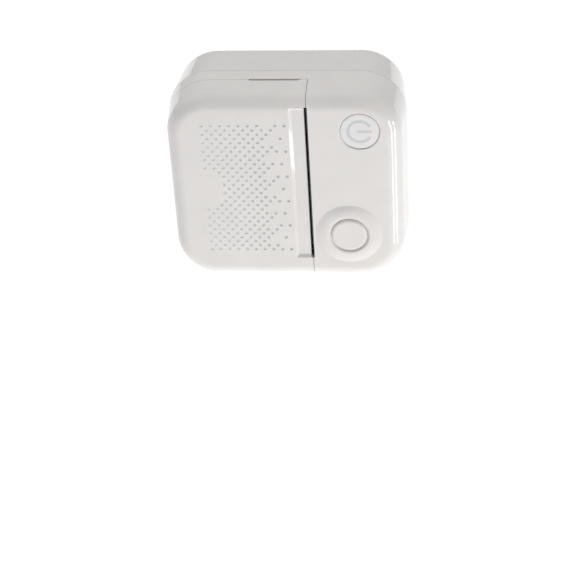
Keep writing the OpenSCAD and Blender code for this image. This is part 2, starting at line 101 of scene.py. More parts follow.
LID_D = 12.2
LID_GAP = 0.05
LID_LIP_R = 0.12
LIP_R = 0.16
SPLIT_GAP = 0.06
SEAM = 0.13
SLOT_X = 8.46
SLOT_Z = (10.2, 72.1)
LID_EDGE = 7.76
FASCIA_EDGE = 8.86
RAMP_X = 2.3
RAMP_SLOPE = 1.15
RAMP_D = 0.8
TOOTH_PITCH = 1.0
TOOTH_MARGIN = 0.6
TEETH = int((SLOT_Z[1] - SLOT_Z[0] - 2 * TOOTH_MARGIN) / TOOTH_PITCH)

POWER = (26.85, 62.7)
POWER_R = 6.8
POWER_HOLE_R = 7.1
POWER_FRONT = 0.2
RELEASE = (21.95, 20.6)
RELEASE_R = 6.4
RELEASE_HOLE_R = 7.0
RELEASE_PROUD = 1.25
RING_R = 12.1
RING_H = 1.13
CREST_R = 8.0

HINGE = (-41.2, 13.9)
HINGE_R = 1.3
HINGE_PIN_R = 0.6
HINGE_Z = (19, 58)
KNUCKLES = 5

USB = (27, 28)
FEET = [(sx * 26, z) for sx in (1, -1) for z in (15.6, 61.6)]
FOOT_R = 4.0
ROLL = (-17, 18)
MEDIA_Z = (12.65, 69.65)
ROLL_R = 12.75
CORE_R = 6.4
CORE_BORE_R = 5.5


# ---- helpers ------------------------------------------------------------------------------------

def at(x, d, z):
    """A point from x, depth and height in mm, in the row frame in metres."""
    return Vector((x * MM, FACE_Y + d * MM, z * MM))


def add_mesh(name, verts, faces, slots=None):
    """A mesh object with outward normals; slots gives a material index for each face."""
    mesh = bpy.data.meshes.new(name)
    mesh.from_pydata([tuple(v) for v in verts], [], faces)
    if slots:
        mesh.polygons.foreach_set("material_index", slots)
    bm = bmesh.new()
    bm.from_mesh(mesh)
    bmesh.ops.recalc_face_normals(bm, faces=bm.faces)
    bm.to_mesh(mesh)
    bm.free()
    obj = bpy.data.objects.new(name, mesh)
    bpy.context.scene.collection.objects.link(obj)
    return obj


def join(name, objects):
    """One object out of several."""
    verts, faces, slots = [], [], []
    for obj in objects:
        base = len(verts)
        verts += [obj.matrix_world @ v.co for v in obj.data.vertices]
        faces += [[base + i for i in p.vertices] for p in obj.data.polygons]
        slots += [p.material_index for p in obj.data.polygons]
        bpy.data.objects.remove(obj)
    return add_mesh(name, verts, faces, slots)


def skin(rings):
    """Vertices and faces of a surface through equal closed rings, with its ends filled."""
    n = len(rings[0])
    verts = [v for ring in rings for v in ring]
    faces = [
        (i * n + j, i * n + (j + 1) % n, (i + 1) * n + (j + 1) % n, (i + 1) * n + j)
        for i in range(len(rings) - 1) for j in range(n)
    ]
    faces += [tuple(reversed(range(n))), tuple(range((len(rings) - 1) * n, len(rings) * n))]
    return verts, faces


def solid(name, rings):
    """A closed mesh through rings."""
    verts, faces = skin(rings)
    return add_mesh(name, verts, faces)


def closed_band(name, rings):
    """A closed mesh through rings whose last one meets the first."""
    n, count = len(rings[0]), len(rings)
    verts = [v for ring in rings for v in ring]
    faces = [
        (i * n + j, i * n + (j + 1) % n, ((i + 1) % count) * n + (j + 1) % n, ((i + 1) % count) * n + j)
        for i in range(count) for j in range(n)
    ]
    return add_mesh(name, verts, faces)


def circle(centre, r, steps):
    """Points round a centre, in two coordinates."""
    turn = 2 * math.pi / steps
    return [(centre[0] + r * math.cos(turn * j), centre[1] + r * math.sin(turn * j)) for j in range(steps)]


def corner_ring(r, d, steps=20):
    """The casing's rounded rectangle at distance r from the four corner axes."""
    points = []
    for quarter, (sx, sz) in enumerate(((1, 1), (-1, 1), (-1, -1), (1, -1))):
        for i in range(steps + 1):
            a = math.pi / 2 * (quarter + i / steps)
            points.append(at(sx * CORNER_X + r * math.cos(a), d, MID_Z + sz * CORNER_Z + r * math.sin(a)))
    return points


def lathe(name, centre, profile, steps=96):
    """A closed turned solid about a line from front to back; profile is (radius, depth)."""
    return solid(name, [[at(x, d, z) for x, z in circle(centre, r, steps)] for r, d in profile])


def upright(name, centre, profile, steps=64):
    """A closed turned solid about an upright line; profile is (radius, height)."""
    return solid(name, [[at(x, d, z) for x, d in circle(centre, r, steps)] for r, z in profile])


def prism(name, section, z):
    """A closed solid with an (x, depth) section between two heights."""
    return solid(name, [[at(x, d, level) for x, d in section] for level in z])


def box(name, x, d, z, edge=0.0):
    """A block, with rounded edges if an edge radius is given."""
    obj = prism(name, [(x[0], d[0]), (x[1], d[0]), (x[1], d[1]), (x[0], d[1])], z)
    if edge:
        round_edges(obj, edge)
    return obj


def round_edges(obj, width, segments=2, angle=40):
    """Rounds the sharp edges of a small mesh."""
    bm = bmesh.new()
    bm.from_mesh(obj.data)
    bm.normal_update()
    sharp = [e for e in bm.edges if len(e.link_faces) == 2
             and e.calc_face_angle(0) > math.radians(angle)]
    bmesh.ops.bevel(bm, geom=sharp, offset=width * MM, segments=segments, profile=0.5,
                    affect="EDGES", clamp_overlap=True)
    bm.to_mesh(obj.data)
    bm.free()
    return obj


def combine(obj, operation, *others):
    """Adds, cuts or intersects the others with obj, exactly, and removes them."""
    for other in others:
        modifier = obj.modifiers.new("cut", "BOOLEAN")
        modifier.operation = operation
        modifier.solver = "EXACT"
        modifier.object = other
    bpy.context.view_layer.update()
    dg = bpy.context.evaluated_depsgraph_get()
    mesh = bpy.data.meshes.new_from_object(obj.evaluated_get(dg), depsgraph=dg)
    obj.modifiers.clear()
    obj.data = mesh
    for other in others:
        bpy.data.objects.remove(other)
    return obj


def dress(obj, body, slot, *materials, replaces=(), angle=28):
    if not obj.data.materials:
        for material in materials:
            obj.data.materials.append(material)
    for polygon in obj.data.polygons:
        polygon.use_smooth = True
    obj.data.set_sharp_from_angle(angle=math.radians(angle))
    normals = obj.modifiers.new("normals", "WEIGHTED_NORMAL")
    normals.keep_sharp = True
    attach(obj, body)
    if replaces:
        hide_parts(*replaces)
    return obj


def arc(centre, r, start, stop, steps):
    """Points on an arc, angles in degrees."""
    return [
        (centre[0] + r * math.cos(math.radians(start + (stop - start) * i / steps)),
         centre[1] + r * math.sin(math.radians(start + (stop - start) * i / steps)))
        for i in range(steps + 1)
    ]


# ---- materials ----------------------------------------------------------------------------------

# where the dimples' painted shade and their depth fade out on the left
DOT_FADE_X = -38


class Nodes:
    """A short way to write a node material in the object's own coordinates."""

    def __init__(self, name):
        self.material = bpy.data.materials.new(name)
        self.material.use_nodes = True
        self.tree = self.material.node_tree
        self.shader = self.tree.nodes["Principled BSDF"]
        self.coords = self.tree.nodes.new("ShaderNodeTexCoord").outputs["Object"]

    def link(self, source, node, socket):
        """Joins an output to a node's input."""
        self.tree.links.new(source, node.inputs[socket])

    def noise(self, scale, detail=3.0, stretch=None):
        """Noise whose scale is in features per metre."""
        node = self.tree.nodes.new("ShaderNodeTexNoise")
        node.inputs["Scale"].default_value = scale
        node.inputs["Detail"].default_value = detail
        source = self.coords
        if stretch:
            mapping = self.tree.nodes.new("ShaderNodeMapping")
            mapping.inputs["Scale"].default_value = stretch
            self.link(source, mapping, "Vector")
            source = mapping.outputs["Vector"]
        self.link(source, node, "Vector")
        return node.outputs["Fac"]

    def spread(self, source, low, high, start=0.3, stop=0.7):
        """Maps a value to a range."""
        node = self.tree.nodes.new("ShaderNodeMapRange")
        for socket, value in zip(("From Min", "From Max", "To Min", "To Max"),
                                 (start, stop, low, high)):
            node.inputs[socket].default_value = value
        self.link(source, node, "Value")
        return node.outputs["Result"]

    def blend(self, share, first, second):
        """Mixes two colours, or two sources, by a share."""
        node = self.tree.nodes.new("ShaderNodeMix")
        node.data_type = "RGBA"
        self.link(share, node, 0)
        for socket, value in ((6, first), (7, second)):
            if isinstance(value, tuple):
                node.inputs[socket].default_value = (*value, 1)
            else:
                self.tree.links.new(value, node.inputs[socket])
        return node.outputs[2]

    def axis(self, name):
        """One coordinate, in mm."""
        split = self.tree.nodes.new("ShaderNodeSeparateXYZ")
        self.link(self.coords, split, "Vector")
        return self.maths("MULTIPLY", split.outputs[name], 1 / MM)

    def maths(self, operation, first, second=None):
        """One sum of numbers or sources."""
        node = self.tree.nodes.new("ShaderNodeMath")
        node.operation = operation
        for i, value in enumerate((first, second)):
            if value is None:
                continue
            if isinstance(value, (int, float)):
                node.inputs[i].default_value = value
            else:
                self.tree.links.new(value, node.inputs[i])
        return node.outputs[0]

    def bump(self, source, height_mm, strength=1.0):
        """Fine relief of a height in mm."""
        node = self.tree.nodes.new("ShaderNodeBump")
        node.inputs["Strength"].default_value = strength
        node.inputs["Distance"].default_value = height_mm * MM
        self.link(source, node, "Height")
        self.link(node.outputs["Normal"], self.shader, "Normal")

    def colour(self, source):
        """Base colour, constant or from a source."""
        if isinstance(source, tuple):
            self.shader.inputs["Base Color"].default_value = (*source, 1)
        else:
            self.link(source, self.shader, "Base Color")

    def set(self, **values):
        """Constant shader values."""
        names = {"rough": "Roughness", "metal": "Metallic", "coat": "Coat Weight",
                 "coat_rough": "Coat Roughness", "ior": "IOR", "specular": "Specular IOR Level",
                 "sheen": "Sheen Weight"}
        for key, value in values.items():
            self.shader.inputs[names[key]].default_value = value

    def glow(self, strength):
        """White light from the surface itself."""
        self.shader.inputs["Emission Color"].default_value = (1, 1, 1, 1)
        self.shader.inputs["Emission Strength"].default_value = strength


def tinted(colour, factor):
    """A lighter or darker colour."""
    return tuple(min(1.0, c * factor) for c in colour)


def plastic(name, colour, rough=0.3, grain=2500, relief=0.004, mottle=0.02, coat=0.0):
    """Moulded plastic: slight mottle, spark-eroded grain and uneven gloss."""
    n = Nodes(name)
    cloud = n.noise(90, 4)
    n.colour(n.blend(n.spread(cloud, 0, 1), tinted(colour, 1 - mottle), tinted(colour, 1 + mottle)))
    grains = n.noise(grain, 2)
    n.link(n.spread(grains, rough - 0.04, rough + 0.05), n.shader, "Roughness")
    n.bump(grains, relief, 0.6)
    n.set(coat=coat, coat_rough=0.06, ior=1.49, specular=0.5 - 0.3 * coat)
    return n.material


def painted_dimple_shade():
    """Painted shade in the lid's dimples: their floors are grey near the slot, fading to the shell's white on
    the left.
    """
    n = Nodes("dimple_painted_shade")
    share = n.spread(n.axis("X"), 0, 1, DOT_FADE_X, 4)
    grains = n.noise(2500, 2)
    # painted shade: the dimple floors are grey by the slot and lighten to the left
    n.colour(n.blend(share, (0.725, 0.725, 0.715), (0.56, 0.557, 0.55)))
    n.link(n.spread(grains, 0.42, 0.55), n.shader, "Roughness")
    n.bump(grains, 0.004, 0.5)
    return n.material


def metal(name, colour, rough=0.28, stretch=(1, 1, 14), grain=700):
    """Drawn or ground metal, with fine lines along one axis."""
    n = Nodes(name)
    lines = n.noise(grain, 4, stretch)
    n.colour(n.blend(n.spread(lines, 0, 1), tinted(colour, 0.86), tinted(colour, 1.08)))
    n.link(n.spread(lines, rough - 0.08, rough + 0.12), n.shader, "Roughness")
    n.bump(lines, 0.004, 0.5)
    n.set(metal=1.0)
    return n.material


def rubber(name, colour, rough=0.75):
    """Ground rubber with a dusty sheen."""
    n = Nodes(name)
    grains = n.noise(1800, 5)
    n.colour(n.blend(n.spread(grains, 0, 1), tinted(colour, 0.8), tinted(colour, 1.35)))
    n.link(n.spread(grains, rough - 0.08, rough + 0.1), n.shader, "Roughness")
    n.bump(grains, 0.02, 0.7)
    n.set(sheen=0.15)
    return n.material


def paper(name, colour, fibre=0.05, rough=0.35):
    """Coated paper: faint fibres in colour and relief."""
    n = Nodes(name)
    fibres = n.noise(1400, 5, (1, 1, 4))
    n.colour(n.blend(n.spread(fibres, 0, 1), tinted(colour, 1 - fibre), tinted(colour, 1 + fibre)))
    n.link(n.spread(fibres, rough - 0.06, rough + 0.1), n.shader, "Roughness")
    n.bump(fibres, 0.006, 0.5)
    return n.material


def wound_paper():
    """The roll's ends: turn upon turn of liner, cyan and white."""
    turn_pitch = 0.32
    n = Nodes("roll_end_turns")
    x = n.maths("SUBTRACT", n.axis("X"), ROLL[0])
    y = n.maths("SUBTRACT", n.axis("Y"), at(0, ROLL[1], 0).y / MM)
    r = n.maths("SQRT", n.maths("ADD", n.maths("MULTIPLY", x, x), n.maths("MULTIPLY", y, y)))
    wave = n.maths("SINE", n.maths("MULTIPLY", r, 2 * math.pi / turn_pitch))
    fibres = n.noise(900, 4)
    turns = n.spread(wave, 0, 1, -1, 1)
    n.colour(n.blend(turns, (0.36, 0.62, 0.68), (0.80, 0.90, 0.92)))
    n.link(n.spread(fibres, 0.6, 0.8), n.shader, "Roughness")
    n.bump(wave, 0.03, 0.5)
    return n.material


def laminate():
    """Green solder mask over copper tracks."""
    n = Nodes("circuit_laminate")
    brick = n.tree.nodes.new("ShaderNodeTexBrick")
    brick.inputs["Scale"].default_value = 260
    brick.inputs["Color1"].default_value = (0.02, 0.16, 0.07, 1)
    brick.inputs["Color2"].default_value = (0.02, 0.12, 0.05, 1)
    brick.inputs["Mortar"].default_value = (0.06, 0.28, 0.12, 1)
    brick.inputs["Mortar Size"].default_value = 0.06
    mapping = n.tree.nodes.new("ShaderNodeMapping")
    mapping.inputs["Rotation"].default_value = (math.radians(90), 0, 0)
    n.link(n.coords, mapping, "Vector")
    n.link(mapping.outputs["Vector"], brick, "Vector")
    n.colour(brick.outputs["Color"])
    fine = n.noise(1500, 2)
    n.link(n.spread(fine, 0.22, 0.38), n.shader, "Roughness")
    n.bump(brick.outputs["Fac"], 0.02, 0.4)
    return n.material


def film(name, colour, rough=0.35):
    """A shrunk or printed film with slight creases."""
    n = Nodes(name)
    creases = n.noise(220, 6, (1, 1, 3))
    n.colour(n.blend(n.spread(creases, 0, 1), tinted(colour, 0.9), tinted(colour, 1.1)))
    n.link(n.spread(creases, rough - 0.08, rough + 0.12), n.shader, "Roughness")
    n.bump(creases, 0.05, 0.5)
    return n.material


def foam_sheet():
    """Open-celled black foam."""
    n = Nodes("battery_foam")
    cells = n.tree.nodes.new("ShaderNodeTexVoronoi")
    cells.inputs["Scale"].default_value = 2200
    n.link(n.coords, cells, "Vector")
    n.colour(n.blend(cells.outputs["Distance"], (0.03, 0.03, 0.03), (0.09, 0.09, 0.09)))
    n.bump(cells.outputs["Distance"], 0.08, 0.8)
    n.set(rough=0.9)
    return n.material


SHELL = plastic("shell_white_plastic", (0.765, 0.742, 0.727), rough=0.38, coat=1.0)
DIMPLE_SHADE = painted_dimple_shade()
KEY_WHITE = plastic("key_cool_white", (0.785, 0.785, 0.785), rough=0.38, coat=1.0)
ICON_GREY = plastic("icon_inlay_grey", (0.65, 0.645, 0.66), rough=0.4)
BLACK = plastic("black_moulding", (0.012, 0.012, 0.012), rough=0.5, grain=1800, relief=0.008)
MATERIALS = {
    "casing_plastic": SHELL,
    "grey_plastic": plastic("inner_grey_plastic", (0.55, 0.55, 0.53), rough=0.48, relief=0.01),
    "ivory_plastic": plastic("ivory_acetal", (0.80, 0.77, 0.68), rough=0.4),
    "black_plastic": BLACK,
    "button_plastic": KEY_WHITE,
    "icon_grey": ICON_GREY,
    "steel": metal("ground_steel", (0.62, 0.62, 0.61), rough=0.25),
    "plated_steel": metal("plated_steel", (0.72, 0.72, 0.70), rough=0.3, stretch=(1, 1, 5)),
    "aluminium": metal("drawn_aluminium", (0.74, 0.75, 0.76), rough=0.34),
    "brass": metal("turned_brass", (0.78, 0.58, 0.26), rough=0.3),
    "platen_rubber": rubber("platen_black_rubber", (0.02, 0.02, 0.02), rough=0.62),
    "foot_rubber": rubber("foot_grey_rubber", (0.10, 0.10, 0.10)),
    "head_ceramic": plastic("head_glaze", (0.10, 0.085, 0.07), rough=0.2, relief=0.002),
    "flex_film": film("amber_flex", (0.42, 0.20, 0.04)),
    "board_laminate": laminate(),
    "led_white": plastic("led_lens", (0.85, 0.86, 0.84), rough=0.2),
    "battery_film": film("battery_sleeve", (0.05, 0.13, 0.30)),
    "foam": foam_sheet(),
    "core_board": paper("core_kraft_board", (0.50, 0.37, 0.22), fibre=0.12, rough=0.75),
    "liner_paper": paper("liner_cyan_paper", (0.42, 0.78, 0.82)),
    "label_paper": paper("label_green_paper", (0.22, 0.62, 0.08)),
}


# ---- casing -------------------------------------------------------------------------------------

FRONT_LEAN = math.degrees(math.atan(FRONT_TAPER / SPLIT_D))
BACK_LEAN = math.degrees(math.atan(BACK_TAPER / (DEPTH - SPLIT_D)))


def wall_r(d, t=0.0):
    """Distance of the wall from a corner's axis at a depth, moved inwards by t."""
    if d < SPLIT_D:
        return CORNER_R - t - FRONT_TAPER * (1 - d / SPLIT_D)
    return CORNER_R - t - BACK_TAPER * (d - SPLIT_D) / (DEPTH - SPLIT_D)


def front_surface(t, d_end, steps=16):
    """(radius, depth) from the flat face, round the front fillet, to a depth on the wall."""
    f = FRONT_FILLET - t
    centre = (wall_r(t + f, t) - f / math.cos(math.radians(FRONT_LEAN)), t + f)
    return arc(centre, f, -90, -FRONT_LEAN, steps) + [(wall_r(d_end, t), d_end)]


def back_surface(t, d_start, steps=20):
    """(radius, depth) from a depth on the wall, round the back fillet, to the flat back."""
    b = BACK_FILLET - t
    depth = DEPTH - t - b
    centre = (wall_r(depth, t) - b / math.cos(math.radians(BACK_LEAN)), depth)
    return [(wall_r(d_start, t), d_start)] + arc(centre, b, BACK_LEAN, 90, steps)


def lip(d_end, way, soft):
    """The rounded outer edge of a shell's rim at a depth; way is 1 on a front rim, -1 on a back rim."""
    outer = wall_r(d_end) - soft
    return [(outer + soft * math.sin(math.radians(a)), d_end - way * soft * (1 - math.cos(math.radians(a))))
            for a in (60, 30, 0)]


def front_cap(name, d_end, soft):
    """The closed shell solid from the face to a depth."""
    outer = front_surface(0, d_end - soft)
    inner = front_surface(WALL, d_end, 12)
    profile = outer + lip(d_end, 1, soft) + list(reversed(inner))
    return solid(name, [corner_ring(r, d) for r, d in profile])


def back_cap(name, d_start, soft):
    """The closed shell solid from a depth to the back."""
    outer = back_surface(0, d_start + soft)
    inner = back_surface(WALL, d_start, 14)
    profile = list(reversed(outer)) + lip(d_start, -1, soft) + inner
    return solid(name, [corner_ring(r, d) for r, d in profile])


def seam_groove():
    """A lozenge drawn along the lid's right-hand seam, which softens both lips."""
    half = 0.2
    path = front_surface(0, LID_D + 0.6, 14)
    side = [(d, MID_Z + CORNER_Z + r) for r, d in path]
    line = list(reversed(side)) + [(d, HEIGHT - z) for d, z in side]
    rings = []
    for i, (d, z) in enumerate(line):
        before, after = line[max(i - 1, 0)], line[min(i + 1, len(line) - 1)]
        along = Vector((after[0] - before[0], after[1] - before[1])).normalized()
        nd, nz = along.y * half, -along.x * half
        rings.append([at(SLOT_X - half, d, z), at(SLOT_X, d + nd, z + nz),
                      at(SLOT_X + half, d, z), at(SLOT_X, d - nd, z - nz)])
    return solid("seam_cutter", rings)


def slot_cutter():
    """The paper slot, with a rounded right-hand edge."""
    edge, above, through = 0.3, -1, 8
    right = arc((FASCIA_EDGE + edge, edge), edge, 250, 180, 6)
    section = [(LID_EDGE, through), (LID_EDGE, above), (FASCIA_EDGE + edge, above)] + right
    return prism("slot_cutter", section + [(FASCIA_EDGE, through)], SLOT_Z)


def ramp_cutter():
    """The shallow flat-bottomed way out of the slot."""
    end_slope, above, edge = 1.1, -0.5, 0.14
    right = LID_EDGE + 2
    rings = []
    for d in (RAMP_D, above):
        left = RAMP_X + RAMP_SLOPE * d / RAMP_D
        low = SLOT_Z[0] + end_slope * d / RAMP_D
        high = SLOT_Z[1] - end_slope * d / RAMP_D
        rings.append([at(left, d, low), at(right, d, low), at(right, d, high), at(left, d, high)])
    return round_edges(solid("ramp_cutter", rings), edge)


def tooth_notches():
    """Small notches along the ramp's edge at the slot."""
    mouth, point = LID_EDGE + 0.2, LID_EDGE - 0.26
    half = TOOTH_PITCH * 0.42
    notches = []
    for i in range(TEETH):
        z = SLOT_Z[0] + TOOTH_MARGIN + (i + 0.5) * TOOTH_PITCH
        rings = [[at(mouth, d, z - half), at(point, d, z), at(mouth, d, z + half)] for d in (-0.3, 3)]
        notches.append(solid("notch", rings))
    return join("notch_cutter", notches)


PULL_X = (-12.2, 6)


def pull_notch():
    """The shallow finger recess in the top wall, deeper towards the lid's rear edge."""
    above = HEIGHT + 2
    rings = []
    for d, (left, right), deep in ((9.4, (PULL_X[0] + 2.4, PULL_X[1] - 3.1), 0.14),
                                   (LID_D + 0.5, PULL_X, 0.42)):
        floor_z = MID_Z + CORNER_Z + wall_r(d) - deep
        rings.append([at(left, d, floor_z), at(right, d, floor_z), at(right, d, above), at(left, d, above)])
    return solid("pull_cutter", rings)


def pull_ends():
    """The two small round ends of the recess."""
    return [upright("pull_end", (x, d), [(r, HEIGHT - deep), (r, HEIGHT + 2)], 20)
            for x, d, r, deep in ((-11.9, LID_D - 0.1, 0.42, 1.6), (2.9, 9.7, 0.26, 0.9))]


DOT_ROWS = 31
DOT_COLUMNS = 18
DOT_HALF_PITCH = 1.61
DOT_ROW_PITCH = 1.708
DOT_RIGHT_X = 0.67
DOT_TOP_Z = 65.18
DOT_R = 0.56


def row_end(row):
    """Last column of a dot row, and the single dots that stand apart beyond it."""
    return {0: (12, 16, 18), 1: (15,), 2: (14,), 3: (13, 17), 4: (12,), 5: (15,), 6: (18,),
            7: (13,), 8: (12,), 9: (17,), 10: (14,), 11: (13,)}[row % 12]


def row_start(row):
    """The left edge steps inwards round the middle of the pattern."""
    return {11: 3, 12: 4, 13: 5, 14: 4, 15: 5, 16: 4, 17: 5, 18: 4, 19: 3}.get(row, 0)


def dot_places():
    """The centre of each dot."""
    for row in range(DOT_ROWS):
        last, *apart = row_end(row)
        for column in range(row % 2, DOT_COLUMNS + 1, 2):
            if row_start(row) <= column <= last or column in apart:
                x = DOT_RIGHT_X - (DOT_COLUMNS - column) * DOT_HALF_PITCH
                yield x, DOT_TOP_Z - row * DOT_ROW_PITCH


def grid_face(lid):
    """Divides the flat face into one cell for each dot, so that no face holds many holes."""
    bm = bmesh.new()
    bm.from_mesh(lid.data)
    cuts = [(at(0, 0, DOT_TOP_Z - (row - 0.5) * DOT_ROW_PITCH), (0, 0, 1))
            for row in range(DOT_ROWS + 1)]
    cuts += [(at(DOT_RIGHT_X - (column - 0.5) * DOT_HALF_PITCH, 0, 0), (1, 0, 0))
             for column in range(DOT_COLUMNS + 2)]
    for place, normal in cuts:
        flat = [f for f in bm.faces if f.normal.y < -0.999 and abs(f.verts[0].co.y - FACE_Y) < 1e-7]
        flat += list({e for f in flat for e in f.edges}) + list({v for f in flat for v in f.verts})
        bmesh.ops.bisect_plane(bm, geom=flat, dist=1e-8, plane_co=place, plane_no=normal)
    bm.to_mesh(lid.data)
    bm.free()


def dot_cutter():
    """All the lid's dimples as one cutter; they get shallower to the left."""
    sides = 14
    verts, faces, slots = [], [], []
    for x, z in dot_places():
        share = min(1, max(0, (x - DOT_FADE_X) / 40))
        depth = 0.08 + 0.08 * share
        profile = [(DOT_R + 0.04, -0.3), (DOT_R + 0.03, -0.01),
                   (DOT_R - 0.02, depth - 0.02), (DOT_R - 0.06, depth)]
        v, f = skin([[at(px, d, pz) for px, pz in circle((x, z), r, sides)] for r, d in profile])
        base = len(verts)
        verts += v
        faces += [tuple(base + i for i in face) for face in f]
        # the dimples' walls and floors take the painted-shade material
        slots += [1 if i >= sides else 0 for i in range(len(f))]
    return add_mesh("dot_cutter", verts, faces, slots)


def knuckle(i, leaf_d):
    """One barrel of the hinge, with its leaf between two depths."""
    length = (HINGE_Z[1] - HINGE_Z[0]) / KNUCKLES
    gap, edge = 0.15, 0.2
    z0, z1 = HINGE_Z[0] + i * length + gap, HINGE_Z[0] + (i + 1) * length - gap
    profile = [(HINGE_PIN_R, z0), (HINGE_R - edge, z0), (HINGE_R, z0 + edge),
               (HINGE_R, z1 - edge), (HINGE_R - edge, z1), (HINGE_PIN_R, z1)]
    barrel = upright("barrel", HINGE, profile, 40)
    leaf = box("leaf", (HINGE[0] - 0.55, HINGE[0] + 0.85), leaf_d, (z0 + 0.02, z1 - 0.02), 0.12)
    return combine(barrel, "UNION", leaf)


def hinge_room():
    """The groove in the left wall that the barrels turn in."""
    room_r = HINGE_R + 0.25
    section = [(-FAR, LID_D - 1), (HINGE[0] + room_r, LID_D - 1), (HINGE[0] + room_r, HINGE[1])]
    section += arc(HINGE, room_r, 0, 180, 16) + [(-FAR, HINGE[1])]
    return prism("hinge_cutter", section, HINGE_Z)


def lid_region():
    """Everything left of the seam and in front of the lid's rear edge."""
    return box("lid_cutter", (-FAR, SLOT_X + SEAM / 2), (-5, LID_D + LID_GAP), (-FAR, HEIGHT + FAR))


def lid_cover():
    """The lid with its ramp, notches, finger recess, dimples and hinge barrels."""
    lid = front_cap("lid_cover_visual", LID_D, LID_LIP_R)
    dots = dot_cutter()
    for obj in (lid, dots):
        obj.data.materials.append(SHELL)
        obj.data.materials.append(DIMPLE_SHADE)
    right = box("right_cutter", (SLOT_X - SEAM / 2, FAR), (-5, LID_D + 5), (-FAR, HEIGHT + FAR))
    combine(lid, "DIFFERENCE", right)
    combine(lid, "DIFFERENCE", seam_groove())
    combine(lid, "DIFFERENCE", slot_cutter())
    combine(lid, "DIFFERENCE", ramp_cutter())
    combine(lid, "DIFFERENCE", tooth_notches(), pull_notch(), *pull_ends())
    grid_face(lid)
    combine(lid, "DIFFERENCE", dots)
    knuckles = [knuckle(i, (LID_D - 0.6, HINGE[1])) for i in range(1, KNUCKLES, 2)]
    lid = join("lid_cover_visual", [lid, *knuckles])
    return dress(lid, "lid", "casing_plastic", SHELL, DIMPLE_SHADE, replaces=("lid_cover",))


def power_hole():
    """The power button's hole, with a soft rim and a ledge that closes the gap from behind."""
    edge = 0.22
    ledge = POWER_R + 0.05
    mouth = POWER_HOLE_R + edge + 0.03
    profile = [(mouth, -2), (mouth, -0.02)]
    profile += arc((POWER_HOLE_R + edge, edge), edge, 255, 180, 4)
    profile += [(POWER_HOLE_R, 0.45), (ledge, 0.55), (ledge, 6)]
    return lathe("power_cutter", POWER, profile)


def release_hole():
    """Room for the release button's ring and collar."""
    r = RELEASE_HOLE_R + 0.6
    return lathe("release_cutter", RELEASE, [(r, -3), (r, 6)])


def ring_slope(r):
    """Depth of the raised ring's outer slope, steeper towards its foot."""
    return -RING_H * (1 - ((r - CREST_R) / (RING_R - CREST_R)) ** 1.5)


def release_ring():
    """The raised ring round the release button, with the collar that guides it."""
    steps = 14
    soft = 0.5
    ledge = RELEASE_R + 0.05
    collar_r, collar_end, under, foot = 8.0, 4.4, 0.3, RING_R + 0.25
    profile = [(collar_r, collar_end), (ledge, collar_end), (ledge, -0.3), (ledge + 0.2, -0.32),
               (RELEASE_HOLE_R, -0.5), (RELEASE_HOLE_R, soft - RING_H)]
    profile += arc((RELEASE_HOLE_R + soft, soft - RING_H), soft, 180, 270, 5)[1:]
    slope = [CREST_R + (RING_R - CREST_R) * i / steps for i in range(steps + 1)]
    profile += [(r, ring_slope(r)) for r in slope]
    profile += [(foot, 0.015), (foot, under), (collar_r, under)]
    sections = zip(*(circle(RELEASE, r, 112) for r, _ in profile))
    rings = [[at(x, d, z) for (x, z), (_, d) in zip(section, profile)] for section in sections]
    return closed_band("release_ring", rings)


def front_shell():
    """The front shell with the fascia's holes, the ring, the lid's opening and the hinge barrels."""
    shell = front_cap("front_shell_visual", SPLIT_D - SPLIT_GAP, LIP_R)
    for cutter in (power_hole, release_hole):
        combine(shell, "DIFFERENCE", cutter())
    combine(shell, "UNION", release_ring())
    combine(shell, "DIFFERENCE", slot_cutter())
    combine(shell, "DIFFERENCE", lid_region())
    combine(shell, "DIFFERENCE", seam_groove())
    combine(shell, "DIFFERENCE", hinge_room())
    # the shadow gap behind the finger recess, and room for the lid's edge as it turns in by the hinge
    rim = box("rim_cutter", PULL_X, (LID_D - 1, LID_D + 0.42), (HEIGHT - 1.9, HEIGHT + 5))
    turn = box("turn_cutter", (-FAR, HINGE[0] + 3), (LID_D - 1, LID_D + 0.45), (13, HEIGHT - 13))
    combine(shell, "DIFFERENCE", rim, turn)
    knuckles = [knuckle(i, (HINGE[1], HINGE[1] + 2.2)) for i in range(0, KNUCKLES, 2)]
    shell = join("front_shell_visual", [shell, *knuckles])
    return dress(shell, "casing", "casing_plastic", SHELL, replaces=("front_shell",))


def usb_opening():
    """The charging inlet's mouth, an oval that flares at the underside."""
    x, d = USB
    half_w, half_d, r = 4.7, 1.8, 1.75
    outline = []
    for quarter, (sx, sd) in enumerate(((1, 1), (-1, 1), (-1, -1), (1, -1))):
        outline += [(sx * (half_w - r) + r * math.cos(math.pi / 2 * (quarter + i / 6)),
                     sd * (half_d - r) + r * math.sin(math.pi / 2 * (quarter + i / 6))) for i in range(7)]
    flare = [(1.12, -0.5), (1.12, 0.05), (1.0, 0.35), (1.0, 9)]
    return solid("usb_cutter", [[at(x + px * k, d + pd * k, z) for px, pd in outline] for k, z in flare])


def back_shell():
    """The back shell with the charging inlet and a pocket for each foot."""
    shell = back_cap("back_shell_visual", SPLIT_D + SPLIT_GAP, LIP_R)
    pocket_r, mouth_r = FOOT_R + 0.05, FOOT_R + 0.25
    profile = [(pocket_r, DEPTH - 0.8), (pocket_r, DEPTH - 0.1), (mouth_r, DEPTH + 0.1), (mouth_r, DEPTH + 2)]
    pockets = [lathe("pocket", p, profile, 48) for p in FEET]
    combine(shell, "DIFFERENCE", usb_opening(), *pockets)
    return dress(shell, "casing", "casing_plastic", SHELL, replaces=("back_shell",))


# ---- buttons, feet and small parts --------------------------------------------------------------

